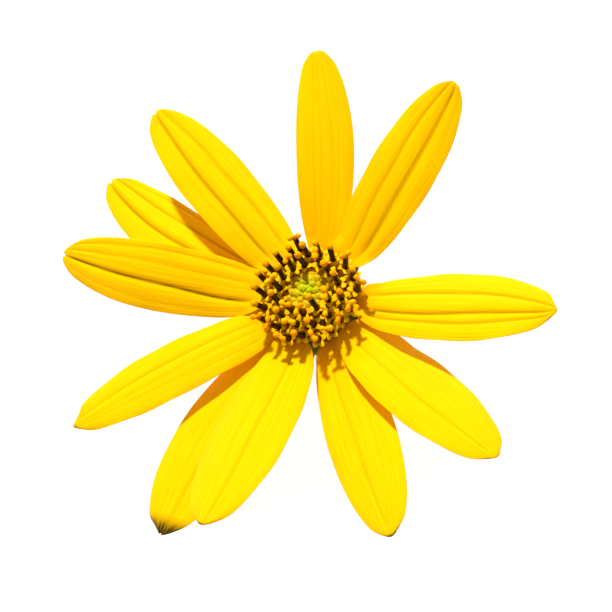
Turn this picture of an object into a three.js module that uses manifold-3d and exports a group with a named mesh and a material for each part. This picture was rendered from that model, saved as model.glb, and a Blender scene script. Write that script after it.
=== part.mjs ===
// A cut flower head of the Jerusalem artichoke, lying face up on its flat cut and its green bracts.
// Millimetres. +Z is the head's axis, and the origin is the middle of the flat cut underneath.
// An azimuth is in degrees, clockwise from +Y as seen from above, like the hours on a clock face.
import * as THREE from 'three';
import { mergeVertices } from 'three/addons/utils/BufferGeometryUtils.js';
import Module from 'manifold-3d';

const wasm = await Module();
wasm.setup();

// Driving dimensions of the ray florets
const RAY_FOOT_RADIUS = 6.2;         // where the ovary stands on the receptacle
const RAY_FOOT_HEIGHT = 5.9;
const RAY_BASE_RADIUS = 6.5;         // where the midrib line starts
const BASE_HEIGHT = { low: 9.2, middle: 10.1, high: 10.9 };
const OVARY_RADII = [0.42, 0.62, 0.5, 0.42];
const OVARY_SHARES = [0, 0.45, 0.8, 1];
const OVARY_SIDES = 6;
const TUBE_OVERLAP = 0.2;            // how far the tube reaches on into the strap
const BLADE_THICKNESS = 0.65;
const CLAW_HALF_WIDTH = 0.62;        // the narrow foot of the strap
const TIP_HALF_WIDTH = 1.4;
const WIDEST_AT = 0.53;              // share of the length
const TIP_ROUNDNESS = 0.56;          // the lower it is, the blunter the tip
const FOOT_TAPER = 0.06;             // share of the length over which the foot narrows
const CAMBER = 0.12;                 // drop of the edges as a share of the half width
const VALLEY_DEPTH = 0.24;           // two valleys run along the strap
const RIDGE_HEIGHT = 0.12;           // between and beside them stand three ridges
const FULL_RIB_WIDTH = 3;            // half width from which the ribs have their full height
const TIP_SHOULDER = 0.45;           // share of a corner's shortfall at the side ridge next to it
const BLADE_START = 0.022;           // share of the midrib line hidden in the tube
const TURN_CENTRE = 0.3;             // share of the length where the strap points along its azimuth
const ROLL_REACHED = 0.3;            // share of the length where the roll is complete
const BLADE_STEPS = 12;              // along the strap
const LINE_STEPS = 70;               // along the midrib line
const RIB_COLUMNS = [-1, -2 / 3, -1 / 3, 0, 1 / 3, 2 / 3, 1];

// One ray floret a row: its azimuth, its length along the midrib, its slope at the base and at the
// tip, how far it bends sideways, its width, its roll about the midrib, its tier in the stack, how
// round its foot is, and how far its tip falls short of the full length at its left corner, in the
// notches left and right of the middle, and at its right corner.
const RAYS = [
  [4.1, 35.1, 25.5, 5.9, -20.1, 9.2, -17.5, 'low', 0.5, [0.9, 0.15, 0.05, 0.3]],
  [41.7, 34.5, 28.4, 24.1, 1.4, 11.6, -0.7, 'high', 0.44, [0.8, 0.1, 0.15, 0.3]],
  [101.5, 36, 18.9, 10.3, 3, 12.7, 11.3, 'high', 0.52, [1.1, 0.1, 0.05, 0.6]],
  [133.5, 37.5, 17.9, 1, 1.4, 12.4, 23.5, 'middle', 0.54, [0.65, 0.05, 0.05, 0.8]],
  [158.9, 39.3, 16, 6.5, 2, 11, -4.8, 'low', 0.52, [1.1, 0.1, 0.05, 0.7]],
  [196.2, 37.5, 21.1, 10.9, 1.8, 13.6, -11.6, 'high', 0.52, [0.5, 0.05, 0.05, 0.3]],
  [212.6, 38.2, 6.3, 2.6, -20.6, 13.5, -4.9, 'low', 0.44, [0.7, 0.05, 0.25, 1.3]],
  [241.2, 36.1, 14.8, -1.9, -5.8, 9.8, -4.7, 'middle', 0.37, [0, 0, 0.1, 1.3]],
  [280.6, 38.4, 12.4, -14.6, 22, 10.8, 22.2, 'high', 0.36, [0.5, 0.3, 0.15, 1.2]],
  [298.7, 36.6, 11.3, -6.1, 28.7, 10.6, -8, 'low', 0.46, [0.6, 0.3, 0.15, 1.1]],
  [320.8, 35.3, 20.2, 3.8, -1.8, 11.3, -15, 'high', 0.34, [0.7, 0.3, 0.1, 0.6]],
].map(([azimuth, length, rise, fall, sweep, width, roll, tier, footRoundness, tip]) => (
  { azimuth, length, rise, fall, sweep, width, roll, tier, footRoundness, tip }));

// Driving dimensions of the disc
const MOUTH_TOP = 15.4;              // height of the open florets' mouths on the axis
const MOUTH_FALL = 0.028;            // and how fast that height falls with the radius squared
const DISC_FOOT_HEIGHT = 9.6;
const DISC_FOOT_RADII = [3.85, 4.7]; // the feet stand in the core, between these two radii
const DISC_FOOT_SHARE = 0.42;        // how far a foot moves out with its mouth
const INNERMOST_MOUTH = 4;
const DISC_CORE = [[3.35, 7.2], [5.0, 6.65], [5.2, 10.4], [4.6, 12.1], [3.5, 12.4]];
const DISC_CORE_SEGMENTS = 20;
const COROLLA_FOOT_RADIUS = 0.38;
const MOUTH_RADIUS = 0.66;           // between two lobes
const MOUTH_DEPTH = 0.1;
const LOBES = 5;
const LOBE_REACH = 1.2;
const LOBE_DROP = 0.15;
const ANTHER_LENGTH = 2.9;
const ANTHER_RADIUS = 0.46;
const ANTHER_TOP_RADIUS = 0.38;
const POLLEN_RADIUS = 0.5;
const BRANCH_LENGTH = 1.2;
const BRANCH_SLOPE = 40;
const BRANCH_SUNK = 0.4;
const BRANCH_RADII = [0.24, 0.32];
const BRANCH_SHARES = [0, 0.85];
const BRANCH_SIDES = 3;

// One open floret each: azimuth and radius of its mouth, then its lean in degrees and the azimuth
// that it leans towards, and true where the style has already split into two curled branches.
const OPEN_FLORETS = [
  [318, 6.1, 20, 316, false], [338, 5.7, 16, 320, false], [358, 5.8, 9, 335, false],
  [16, 6.0, 13, 5, false], [38, 6.2, 17, 10, false], [58, 6.9, 16, 62, true],
  [77, 7.3, 14, 80, false], [92, 7.8, 20, 88, true], [117, 7.7, 16, 135, true],
  [134, 7.6, 17, 145, true], [151, 8.1, 17, 170, true], [167, 8.5, 15, 185, true],
  [184, 7.6, 20, 215, false], [200, 8.3, 19, 211, true], [217, 7.5, 18, 235, true],
  [233, 7.9, 18, 236, true], [249, 7.4, 18, 247, false], [266, 6.9, 22, 285, false],
  [283, 6.8, 21, 305, false], [300, 6.4, 14, 290, false], [347, 7.0, 22, 345, true],
  [108, 5.8, 12, 130, false], [142, 5.9, 12, 150, true], [168, 6.2, 12, 200, false],
  [193, 6.1, 14, 215, true], [222, 5.6, 10, 200, false],
  [352, 3.9, 9, 320, false], [28, 4.3, 10, 0, true], [59, 4.2, 9, 330, false],
  [84, 5.0, 8, 350, false], [122, 4.2, 11, 130, true], [152, 4.1, 20, 315, false],
  [184, 4.3, 12, 190, true], [210, 4.2, 12, 215, true], [244, 4.9, 12, 305, false],
  [272, 4.4, 10, 290, true], [297, 4.3, 12, 330, false], [325, 4.1, 10, 320, true],
];

// Driving dimensions of the closed buds in the middle
const BUD_COUNT = 19;
const BUD_SPACING = 0.63;            // the radius grows with the square root of the bud's number
const BUD_TOP = 15.1;
const BUD_FALL = 0.07;
const BUD_ROOT = 11.8;
const BUD_ROOT_SHARE = 0.85;         // the roots stand closer together than the tops
const BUD_RADII = [0.3, 0.64, 0.48];
const BUD_SHARES = [0, 0.72, 0.93];
const BUD_CORE = [[0, 7.65], [2.9, 7.3], [2.95, 12], [2.2, 13.1], [0, 13.6]];
const BUD_CORE_SEGMENTS = 15;
const GOLDEN_ANGLE = 137.508;

// Driving dimensions of the receptacle, the bracts and the flat cut
const CUT_RADIUS = 2.2;
const RECEPTACLE = [
  [0, 0], [CUT_RADIUS, 0], [2.3, 1.5], [3.4, 2.4], [5.4, 3.2], [6.9, 4.3], [7.1, 5.2],
  [6.4, 5.6], [4.6, 6.5], [2.4, 7.1], [0, 7.3],
];
const RECEPTACLE_SEGMENTS = 20;
const BRACT_WIDTHS = [0.5, 1, 0.9, 0.58, 0.12];   // shares of the half width, root to tip
const BRACT_KEEL = 1.1;              // thickness at the keel where the bract is widest
const KEEL_AT_TIP = 0.4;             // share of it that a bract keeps at its point
const TOUCHING = BRACT_KEEL * (KEEL_AT_TIP + (1 - KEEL_AT_TIP) * BRACT_WIDTHS[4]);
// Each series of bracts: its half width, its azimuths, and the side view of the upper face from the
// root outwards as [radius, height]. The lowest series curls back until its points touch the ground.
const BRACT_SERIES = [
  {
    halfWidth: 1.4,
    azimuths: [10, 34, 86, 110, 134, 162, 202, 228, 254, 282, 308, 333],
    path: [[6.4, 4.6], [7.7, 6.6], [8.8, 7.2], [9.9, 7.2], [10.9, 6.7]],
  },
  {
    halfWidth: 1.5,
    azimuths: [21, 71, 97, 122, 147, 167, 201, 218, 241, 268, 296, 322, 350],
    path: [[5.2, 3.9], [7.3, 4.6], [8.9, 4.2], [10.2, 3.1], [11.2, 1.6]],
  },
  {
    halfWidth: 1.4,
    azimuths: [4, 76, 106, 134, 160, 207, 232, 258, 286, 312],
    path: [[4.0, 3.2], [6.0, 3.4], [7.8, 2.8], [9.3, 1.7], [10.4, TOUCHING]],
  },
];

// Colours and finishes
const MATERIALS = {
  ray: { color: 0xffdf05, roughness: 0.55, metalness: 0 },
  floret: { color: 0xf2a516, roughness: 0.6, metalness: 0 },
  bud: { color: 0xa9a813, roughness: 0.6, metalness: 0 },
  green: { color: 0x4d6b2c, roughness: 0.7, metalness: 0 },
};

const radians = THREE.MathUtils.degToRad;

function pointAt(azimuth, radius, height) {
  const a = radians(azimuth);
  return new THREE.Vector3(radius * Math.sin(a), radius * Math.cos(a), height);
}

function bearing(azimuth, slope) {
  const s = radians(slope);
  return pointAt(azimuth, Math.cos(s), Math.sin(s));
}

// A closed geometry becomes a solid: shared corners are merged and empty triangles dropped.
function solidOf(geometry) {
  const bare = geometry.clone();
  bare.deleteAttribute('normal');
  bare.deleteAttribute('uv');
  const merged = mergeVertices(bare, 1e-4);
  const corners = [];
  for (let i = 0; i < merged.index.count; i += 3) {
    const [a, b, c] = [0, 1, 2].map((k) => merged.index.getX(i + k));
    if (a !== b && b !== c && c !== a) corners.push(a, b, c);
  }
  const mesh = new wasm.Mesh({
    numProp: 3,
    vertProperties: new Float32Array(merged.attributes.position.array),
    triVerts: new Uint32Array(corners),
  });
  return new wasm.Manifold(mesh);
}

function geometryOf(solid) {
  const mesh = solid.getMesh();
  const geometry = new THREE.BufferGeometry();
  geometry.setAttribute('position', new THREE.BufferAttribute(mesh.vertProperties, 3));
  geometry.setIndex(new THREE.BufferAttribute(mesh.triVerts, 1));
  return geometry;
}

// Joins solids into one body. A hollow that gets sealed inside it is filled, and a loose scrap goes.
function fuse(solids) {
  const joined = solids.reduce((whole, piece) => whole.add(piece));
  const shells = joined.decompose();
  return shells.reduce((largest, shell) => (shell.volume() > largest.volume() ? shell : largest));
}

function meshOf(name, solid, look) {
  const mesh = new THREE.Mesh(geometryOf(solid), new THREE.MeshStandardMaterial(MATERIALS[look]));
  mesh.name = name;
  return mesh;
}

// A closed skin over rows of corners, each row one closed loop round the piece.
function skinOver(rows) {
  const around = rows[0].length;
  const points = rows.flat();
  const corners = [];
  for (let i = 0; i + 1 < rows.length; i += 1) {
    for (let j = 0; j < around; j += 1) {
      const [a, b] = [i * around + j, i * around + ((j + 1) % around)];
      corners.push(a, b, b + around, a, b + around, a + around);
    }
  }
  const last = (rows.length - 1) * around;
  for (let j = 1; j + 1 < around; j += 1) {
    corners.push(0, j + 1, j, last, last + j, last + j + 1);
  }
  const geometry = new THREE.BufferGeometry();
  geometry.setFromPoints(points);
  geometry.setIndex(corners);
  return geometry;
}

// A round limb with a few sides from one point to another, its radii given at shares of the length.
function limb(from, to, radii, shares, sides, turn = 0) {
  const length = from.distanceTo(to);
  const profile = [new THREE.Vector2(0, 0)];
  radii.forEach((radius, i) => profile.push(new THREE.Vector2(radius, shares[i] * length)));
  profile.push(new THREE.Vector2(0, length));
  const geometry = new THREE.LatheGeometry(profile, sides, radians(turn));
  const up = new THREE.Vector3(0, 1, 0);
  const along = to.clone().sub(from).normalize();
  geometry.applyQuaternion(new THREE.Quaternion().setFromUnitVectors(up, along));
  geometry.translate(from.x, from.y, from.z);
  return solidOf(geometry);
}

// The midrib line of a ray floret: for a share of its length, the point and its three directions.
function midrib(ray) {
  const step = ray.length / LINE_STEPS;
  const heading = (share) => {
    const azimuth = ray.azimuth + ray.sweep * (share - TURN_CENTRE);
    return { azimuth, slope: ray.rise + (ray.fall - ray.rise) * share };
  };
  const points = [pointAt(ray.azimuth, RAY_BASE_RADIUS, BASE_HEIGHT[ray.tier])];
  for (let i = 0; i < LINE_STEPS; i += 1) {
    const { azimuth, slope } = heading((i + 0.5) / LINE_STEPS);
    points.push(points[i].clone().addScaledVector(bearing(azimuth, slope), step));
  }
  return (share) => {
    const place = share * LINE_STEPS;
    const i = Math.min(Math.floor(place), LINE_STEPS - 1);
    const point = points[i].clone().lerp(points[i + 1], place - i);
    const { azimuth, slope } = heading(share);
    const along = bearing(azimuth, slope);
    const level = pointAt(azimuth + 90, 1, 0);
    const above = level.clone().cross(along);
    const roll = radians(ray.roll) * Math.min(share / ROLL_REACHED, 1);
    const across = level.clone().multiplyScalar(Math.cos(roll)).addScaledVector(above, Math.sin(roll));
    const up = above.multiplyScalar(Math.cos(roll)).addScaledVector(level, -Math.sin(roll));
    return { point, along, across, up };
  };
}

function halfWidth(ray, share) {
  const towardsTip = share > WIDEST_AT;
  const reach = towardsTip ? 1 - WIDEST_AT : WIDEST_AT;
  const roundness = towardsTip ? TIP_ROUNDNESS : ray.footRoundness;
  const x = (share - WIDEST_AT) / reach;
  const full = (ray.width / 2) * Math.max(1 - x * x, 0) ** roundness;
  if (towardsTip) return Math.max(full, TIP_HALF_WIDTH);
  return CLAW_HALF_WIDTH + (full - CLAW_HALF_WIDTH) * Math.min(share / FOOT_TAPER, 1);
}

// How far the upper face stands above or below its camber at a rib column.
function ribLift(column, half) {
  if (column === 0 || column === RIB_COLUMNS.length - 1) return 0;
  const full = column % 2 === 1 ? RIDGE_HEIGHT : -VALLEY_DEPTH;
  return full * Math.min(half / FULL_RIB_WIDTH, 1);
}

// How far the tip falls short of the full length at each rib column.
function tipShortfall(ray) {
  const [left, leftNotch, rightNotch, right] = ray.tip;
  return [left, left * TIP_SHOULDER, leftNotch, 0, rightNotch, right * TIP_SHOULDER, right];
}

// The strap of a ray floret: its upper face waves over the ribs, and its lower face copies it.
// The steps are shorter towards the foot and the tip, where the outline turns most.
function blade(ray) {
  const line = midrib(ray);
  const shortfall = tipShortfall(ray);
  const rows = [];
  for (let i = 0; i <= BLADE_STEPS; i += 1) {
    const even = i / BLADE_STEPS;
    const eased = (1 - Math.cos(Math.PI * even)) / 2;
    const share = BLADE_START + (1 - BLADE_START) * (even + eased) / 2;
    const { point, along, across, up } = line(share);
    const half = halfWidth(ray, share);
    const upper = RIB_COLUMNS.map((u, column) => {
      const lift = ribLift(column, half) - CAMBER * half * u * u;
      const back = i === BLADE_STEPS ? shortfall[column] : 0;
      return point.clone().addScaledVector(across, half * u).addScaledVector(up, lift)
        .addScaledVector(along, -back);
    });
    const lower = upper.map((corner) => corner.clone().addScaledVector(up, -BLADE_THICKNESS));
    rows.push({ upper, lower });
  }
  return stripSolid(rows);
}

// A thin strip with an upper and a lower face split into triangles alike, closed round its edge.
function stripSolid(rows) {
  const columns = rows[0].upper.length;
  const around = columns * 2;
  const points = rows.flatMap((row) => [...row.upper, ...row.lower]);
  const corners = [];
  const quad = (a, b, c, d) => corners.push(a, b, c, a, c, d);
  for (let i = 0; i + 1 < rows.length; i += 1) {
    const here = i * around;
    const next = here + around;
    for (let j = 0; j + 1 < columns; j += 1) {
      quad(here + j, here + j + 1, next + j + 1, next + j);
      const [a, b] = [here + columns + j, next + columns + j];
      corners.push(a, b + 1, a + 1, a, b, b + 1);
    }
    quad(here, next, next + columns, here + columns);
    quad(here + columns - 1, here + around - 1, next + around - 1, next + columns - 1);
  }
  const end = (rows.length - 1) * around;
  for (let j = 0; j + 1 < columns; j += 1) {
    quad(j, j + columns, j + columns + 1, j + 1);
    quad(end + j, end + j + 1, end + j + columns + 1, end + j + columns);
  }
  const geometry = new THREE.BufferGeometry();
  geometry.setFromPoints(points);
  geometry.setIndex(corners);
  return solidOf(geometry);
}

// The ovary of a ray floret with the short tube that carries the strap.
function ovaryAndTube(ray) {
  const foot = pointAt(ray.azimuth, RAY_FOOT_RADIUS, RAY_FOOT_HEIGHT);
  const { point, along, up } = midrib(ray)(BLADE_START * 2);
  const head = point.clone().addScaledVector(up, -BLADE_THICKNESS / 2)
    .addScaledVector(along, TUBE_OVERLAP);
  return limb(foot, head, OVARY_RADII, OVARY_SHARES, OVARY_SIDES);
}

function rayFloret(ray, number) {
  const name = `ray_floret_${String(number).padStart(2, '0')}`;
  return meshOf(name, fuse([blade(ray), ovaryAndTube(ray)]), 'ray');
}

function mouthHeight(radius) {
  return MOUTH_TOP - MOUTH_FALL * radius * radius;
}

// One row of a corolla: points round a floret's axis, where each second point is a lobe's tip.
function corollaRow(middle, axis, turn, tipRadius, tipDrop, valleyRadius) {
  const row = [];
  for (let i = 0; i < LOBES * 2; i += 1) {
    const away = pointAt(turn - (180 * i) / LOBES, 1, 0);
    const out = away.addScaledVector(axis, -away.dot(axis)).normalize();
    const [radius, drop] = i % 2 === 0 ? [tipRadius, tipDrop] : [valleyRadius, 0];
    row.push(middle.clone().addScaledVector(out, radius).addScaledVector(axis, -drop));
  }
  return row;
}

// An open floret in one skin: a tube that spreads into a five-lobed star, with the tube of anthers
// standing in it, and either a cap of pollen or the two curled branches of the style on top.
function openFloret([azimuth, radius, lean, leanAzimuth, split], footRadius) {
  const mouth = pointAt(azimuth, radius, mouthHeight(radius));
  const foot = pointAt(azimuth, footRadius, DISC_FOOT_HEIGHT);
  const axis = bearing(leanAzimuth, 90 - lean);
  const tube = mouth.clone().sub(foot).normalize();
  const turn = azimuth + 180 / LOBES;
  const along = (height) => mouth.clone().addScaledVector(axis, height);
  const ring = (height, reach) => corollaRow(along(height), axis, turn, reach, 0, reach);
  const capRadius = split ? ANTHER_TOP_RADIUS : POLLEN_RADIUS;
  const pieces = [solidOf(skinOver([
    corollaRow(foot, tube, turn, COROLLA_FOOT_RADIUS, 0, COROLLA_FOOT_RADIUS),
    corollaRow(mouth, axis, turn, LOBE_REACH, LOBE_DROP, MOUTH_RADIUS),
    ring(MOUTH_DEPTH, ANTHER_RADIUS),
    ring(ANTHER_LENGTH, capRadius),
  ]))];
  if (split) {
    for (const side of [90, -90]) {
      const bend = bearing(leanAzimuth + side, BRANCH_SLOPE);
      const from = along(ANTHER_LENGTH - BRANCH_SUNK);
      const to = from.clone().addScaledVector(bend, BRANCH_LENGTH);
      pieces.push(limb(from, to, BRANCH_RADII, BRANCH_SHARES, BRANCH_SIDES));
    }
  }
  return fuse(pieces);
}

function lathe(profile, segments) {
  const geometry = new THREE.LatheGeometry(profile.map(([r, z]) => new THREE.Vector2(r, z)), segments);
  geometry.rotateX(Math.PI / 2);
  return solidOf(geometry);
}

// The open florets stand on a ring of chaff round the buds.
function discFlorets() {
  const core = lathe([...DISC_CORE, DISC_CORE[0]], DISC_CORE_SEGMENTS);
  const [innermost, outermost] = DISC_FOOT_RADII;
  const florets = OPEN_FLORETS.map((floret) => {
    const footRadius = innermost + (floret[1] - INNERMOST_MOUTH) * DISC_FOOT_SHARE;
    return openFloret(floret, Math.min(footRadius, outermost));
  });
  return meshOf('disc_florets', fuse([core, ...florets]), 'floret');
}

// The closed buds stand on a small dome, each a golden angle on from the one before.
function discBuds() {
  const pieces = [lathe(BUD_CORE, BUD_CORE_SEGMENTS)];
  for (let n = 0; n < BUD_COUNT; n += 1) {
    const radius = BUD_SPACING * Math.sqrt(n);
    const azimuth = n * GOLDEN_ANGLE;
    const top = pointAt(azimuth, radius, BUD_TOP - BUD_FALL * radius * radius);
    const root = pointAt(azimuth, radius * BUD_ROOT_SHARE, BUD_ROOT);
    pieces.push(limb(root, top, BUD_RADII, BUD_SHARES, LOBES, azimuth));
  }
  return meshOf('disc_buds', fuse(pieces), 'bud');
}

// A bract is a pointed leaf, flat above, with a keel along its back.
function bract(series, azimuth) {
  const side = pointAt(azimuth + 90, 1, 0);
  const rows = series.path.map(([radius, height], i) => {
    const middle = pointAt(azimuth, radius, height);
    const half = series.halfWidth * BRACT_WIDTHS[i];
    const keel = BRACT_KEEL * (KEEL_AT_TIP + (1 - KEEL_AT_TIP) * BRACT_WIDTHS[i]);
    return [
      middle.clone().addScaledVector(side, -half),
      middle.clone().addScaledVector(side, half),
      middle.clone().setZ(height - keel),
    ];
  });
  return solidOf(skinOver(rows));
}

function receptacle() {
  const pieces = [lathe(RECEPTACLE, RECEPTACLE_SEGMENTS)];
  for (const series of BRACT_SERIES) {
    for (const azimuth of series.azimuths) pieces.push(bract(series, azimuth));
  }
  return meshOf('receptacle_and_bracts', fuse(pieces), 'green');
}

const flower = new THREE.Group();
flower.add(receptacle());
RAYS.forEach((ray, i) => flower.add(rayFloret(ray, i + 1)));
flower.add(discFlorets());
flower.add(discBuds());

export default flower;
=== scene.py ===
"""A cut flower head of the Jerusalem artichoke, lying face up on its flat cut.

Sizes are in millimetres until a mesh is made. +Z is the head's axis. An azimuth is in degrees,
clockwise from +Y as seen from above, and a slope is in degrees above the horizontal.
"""

import math
import random
from collections import namedtuple

import bmesh
import bpy
import numpy as np
from mathutils import Matrix, Vector, noise


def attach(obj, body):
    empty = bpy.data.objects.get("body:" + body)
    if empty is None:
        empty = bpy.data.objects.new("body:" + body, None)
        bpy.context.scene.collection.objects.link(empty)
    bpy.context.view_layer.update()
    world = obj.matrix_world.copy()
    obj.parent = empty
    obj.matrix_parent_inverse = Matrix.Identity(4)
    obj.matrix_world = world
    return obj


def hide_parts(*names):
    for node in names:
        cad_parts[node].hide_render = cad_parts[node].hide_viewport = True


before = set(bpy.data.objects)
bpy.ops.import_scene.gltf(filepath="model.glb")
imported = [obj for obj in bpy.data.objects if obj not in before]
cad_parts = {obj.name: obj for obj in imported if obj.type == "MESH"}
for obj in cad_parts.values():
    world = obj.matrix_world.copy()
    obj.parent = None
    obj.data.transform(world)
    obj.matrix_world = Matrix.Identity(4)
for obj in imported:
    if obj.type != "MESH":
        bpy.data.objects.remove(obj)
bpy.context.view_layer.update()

METRES = 0.001

# Ray florets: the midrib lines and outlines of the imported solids, but for two fuller feet
RAY_FOOT_RADIUS = 6.2
RAY_FOOT_HEIGHT = 5.9
RAY_BASE_RADIUS = 6.5
BASE_HEIGHT = {"low": 9.2, "middle": 10.1, "high": 10.9}
CLAW_HALF_WIDTH = 0.62
FOOT_TAPER = 0.06
WIDEST_AT = 0.53
TIP_ROUNDNESS = 0.56
CAMBER = 0.12
FULL_RIB_WIDTH = 3.0
TURN_CENTRE = 0.3
ROLL_REACHED = 0.3
LINE_STEPS = 70
STRAP_START = 0.022

# and what only the fine straps have
STRAP_THICKNESS = 0.4
STRAP_ROWS = 110
STRAP_COLUMNS = 64
EDGE_SHARPNESS = 4                    # power of the round edge's profile
TIP_BLEND = 0.08                      # share of the length over which the tip's shape fades in
TIP_ROUND = 1.0                       # depth of the tip's round end
ROUNDING = 0.96                       # share of a half circle that the tip's end is round
ROUND_SHARE = 0.8                     # share of that depth that counts towards the corners' fall
NOTCH_WIDTH = 0.17
CUPPED_UNTIL = 0.13                   # the strap's foot is folded up into the tube
CUP = 0.5
FAINT, MEDIUM, STRONG, DEEP = 0.1, 0.24, 0.42, 0.62   # depths of creases
CREASE_WIDTH = 0.1
CREASE_WANDER = 0.015
EDGE_RIPPLE = 0.1
OVARY_RADII = [0.42, 0.62, 0.5, 0.42]
OVARY_SHARES = [0, 0.45, 0.8, 1]

# One ray floret a row: azimuth, length, slope at the base and at the tip, sideways bend, width,
# roll, tier, roundness of the foot, the tip (half its width, how far its left and right corners
# fall back, place and depth of its notch), the stain on the tip's left and right and its share of
# the length, and its creases, each as its place across the strap at the base, half way and at the
# tip (-1 to 1), its depth and, where it is a broad one, its width.
Ray = namedtuple("Ray", "azimuth length rise fall sweep width roll tier foot_roundness tip stain "
                        "creases")
RAYS = [
    (4.1, 35.1, 25.5, 5.9, -20.1, 9.2, -17.5, "low", 0.5, (1.5, 0.9, 0.3, -0.15, 0.12), (0, 0, 0.01),
     [(-0.36, -0.36, -0.3, FAINT), (-0.1, -0.12, -0.15, FAINT), (0.28, 0.25, 0.2, FAINT),
      (0.55, 0.5, 0.4, FAINT)]),
    (41.7, 34.5, 28.4, 24.1, 1.4, 11.6, -0.7, "high", 0.44, (1.3, 0.8, 0.3, 0.15, 0.12), (0, 0, 0.01),
     [(-0.1, -0.3, -0.38, STRONG, 0.14), (0.48, 0.28, 0.2, DEEP, 0.2), (0.85, 0.8, 0.7, FAINT),
      (-0.75, -0.7, -0.6, FAINT)]),
    (101.5, 36, 18.9, 10.3, 3, 12.7, 11.3, "high", 0.52, (1.0, 1.1, 0.6, 0, 0), (0.3, 0.1, 0.01),
     [(-0.36, -0.36, -0.36, STRONG), (0.3, 0.24, 0.05, DEEP), (0.55, 0.52, 0.4, STRONG),
      (-0.75, -0.7, -0.6, FAINT)]),
    (133.5, 37.5, 17.9, 1, 1.4, 12.4, 23.5, "middle", 0.54, (1.1, 0.65, 0.8, 0, 0), (0.3, 0.3, 0.012),
     [(-0.38, -0.36, -0.3, FAINT), (0.2, 0.2, 0.14, MEDIUM), (0.6, 0.55, 0.46, FAINT)]),
    (158.9, 39.3, 16, 6.5, 2, 11, -4.8, "low", 0.52, (1.0, 1.1, 0.7, 0, 0), (0.9, 0.7, 0.02),
     [(0.26, 0.18, 0.12, MEDIUM), (0.6, 0.5, 0.4, FAINT), (-0.4, -0.35, -0.3, FAINT)]),
    (196.2, 37.5, 21.1, 10.9, 1.8, 13.6, -11.6, "high", 0.52, (1.2, 0.5, 0.3, 0, 0), (0.2, 1, 0.02),
     [(-0.55, -0.5, -0.4, FAINT), (-0.15, -0.12, -0.1, MEDIUM), (0.3, 0.27, 0.24, FAINT)]),
    (212.6, 38.2, 6.3, 2.6, -20.6, 13.5, -4.9, "low", 0.44, (1.0, 0.7, 1.4, 0.1, 0.3), (1, 1, 0.12),
     [(-0.1, -0.1, -0.1, MEDIUM), (0.3, 0.25, 0.2, FAINT), (-0.5, -0.45, -0.4, FAINT),
      (0.64, 0.5, 0.4, FAINT)]),
    (241.2, 36.1, 14.8, -1.9, -5.8, 9.8, -4.7, "middle", 0.31, (0.8, 0, 2.4, 0, 0), (1, 0, 0.025),
     [(0.3, 0.27, 0.2, MEDIUM), (-0.1, -0.15, -0.18, FAINT), (-0.6, -0.5, -0.4, FAINT)]),
    (280.6, 38.4, 12.4, -14.6, 22, 10.8, 22.2, "high", 0.32, (1.5, 0.5, 1.2, -0.1, 0.55), (0, 0, 0.01),
     [(-0.5, -0.2, -0.12, DEEP), (-0.85, -0.75, -0.6, FAINT), (0.3, 0.38, 0.4, MEDIUM, 0.14),
      (0.75, 0.8, 0.7, MEDIUM), (-0.02, 0.1, 0.12, FAINT)]),
    (298.7, 36.6, 11.3, -6.1, 28.7, 10.6, -8, "low", 0.46, (1.4, 0.6, 1.1, -0.2, 0.5), (0, 0, 0.01),
     [(-0.05, -0.18, -0.3, DEEP), (0.45, 0.42, 0.36, STRONG), (0.85, 0.85, 0.7, MEDIUM),
      (0.16, 0.14, 0.1, FAINT)]),
    (320.8, 35.3, 20.2, 3.8, -1.8, 11.3, -15, "high", 0.34, (1.4, 0.9, 0.6, -0.3, 0.45), (0, 0, 0.01),
     [(-0.29, -0.28, -0.22, DEEP, 0.12), (0.46, 0.38, 0.3, STRONG, 0.14), (-0.7, -0.6, -0.5, FAINT),
      (0.1, 0.06, 0, FAINT)]),
]

# Disc florets: their places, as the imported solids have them
MOUTH_TOP = 15.4
MOUTH_FALL = 0.028
DISC_FOOT_HEIGHT = 9.6
DISC_FOOT_RADII = (3.85, 4.7)
DISC_FOOT_SHARE = 0.42
INNERMOST_MOUTH = 4
CHAFF_RING = [(3.35, 7.2), (5.0, 6.65), (5.2, 10.4), (4.6, 12.1), (3.5, 12.4)]
LOBES = 5
LOBE_REACH = 1.2
COROLLA_SHARES = [0, 0.25, 0.55, 0.85, 1]
COROLLA_RADII = [0.38, 0.34, 0.5, 0.6, 0.64]
ANTHER_LENGTH = 2.9
ANTHER_HEIGHTS = [-1.6, -0.9, -0.3, 0.3, 1.0, 1.7, 2.3, 2.6, 2.8, ANTHER_LENGTH]
ANTHER_SHARES = [0.5, 0.7, 0.85, 0.97, 1, 1, 1, 0.98, 0.95, 0.8]   # of the radius, at the heights
ANTHER_RADIUS = 0.46
POLLEN_RADIUS = 0.56
BRANCH_SHARES = [0, 0.25, 0.55, 0.8, 0.95, 1]
BRANCH_RADII = [0.2, 0.27, 0.38, 0.47, 0.36, 0.1]
SCALE_COUNT = 120                     # scales of chaff between the florets
SCALE_SPACING = 0.66
SCALE_ROOT_HEIGHT = 11.2
RIM_COUNT = 26                        # scales of chaff round the foot of the disc
RIM_FOOT = (5.1, 6.7)                 # radius and height

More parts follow.
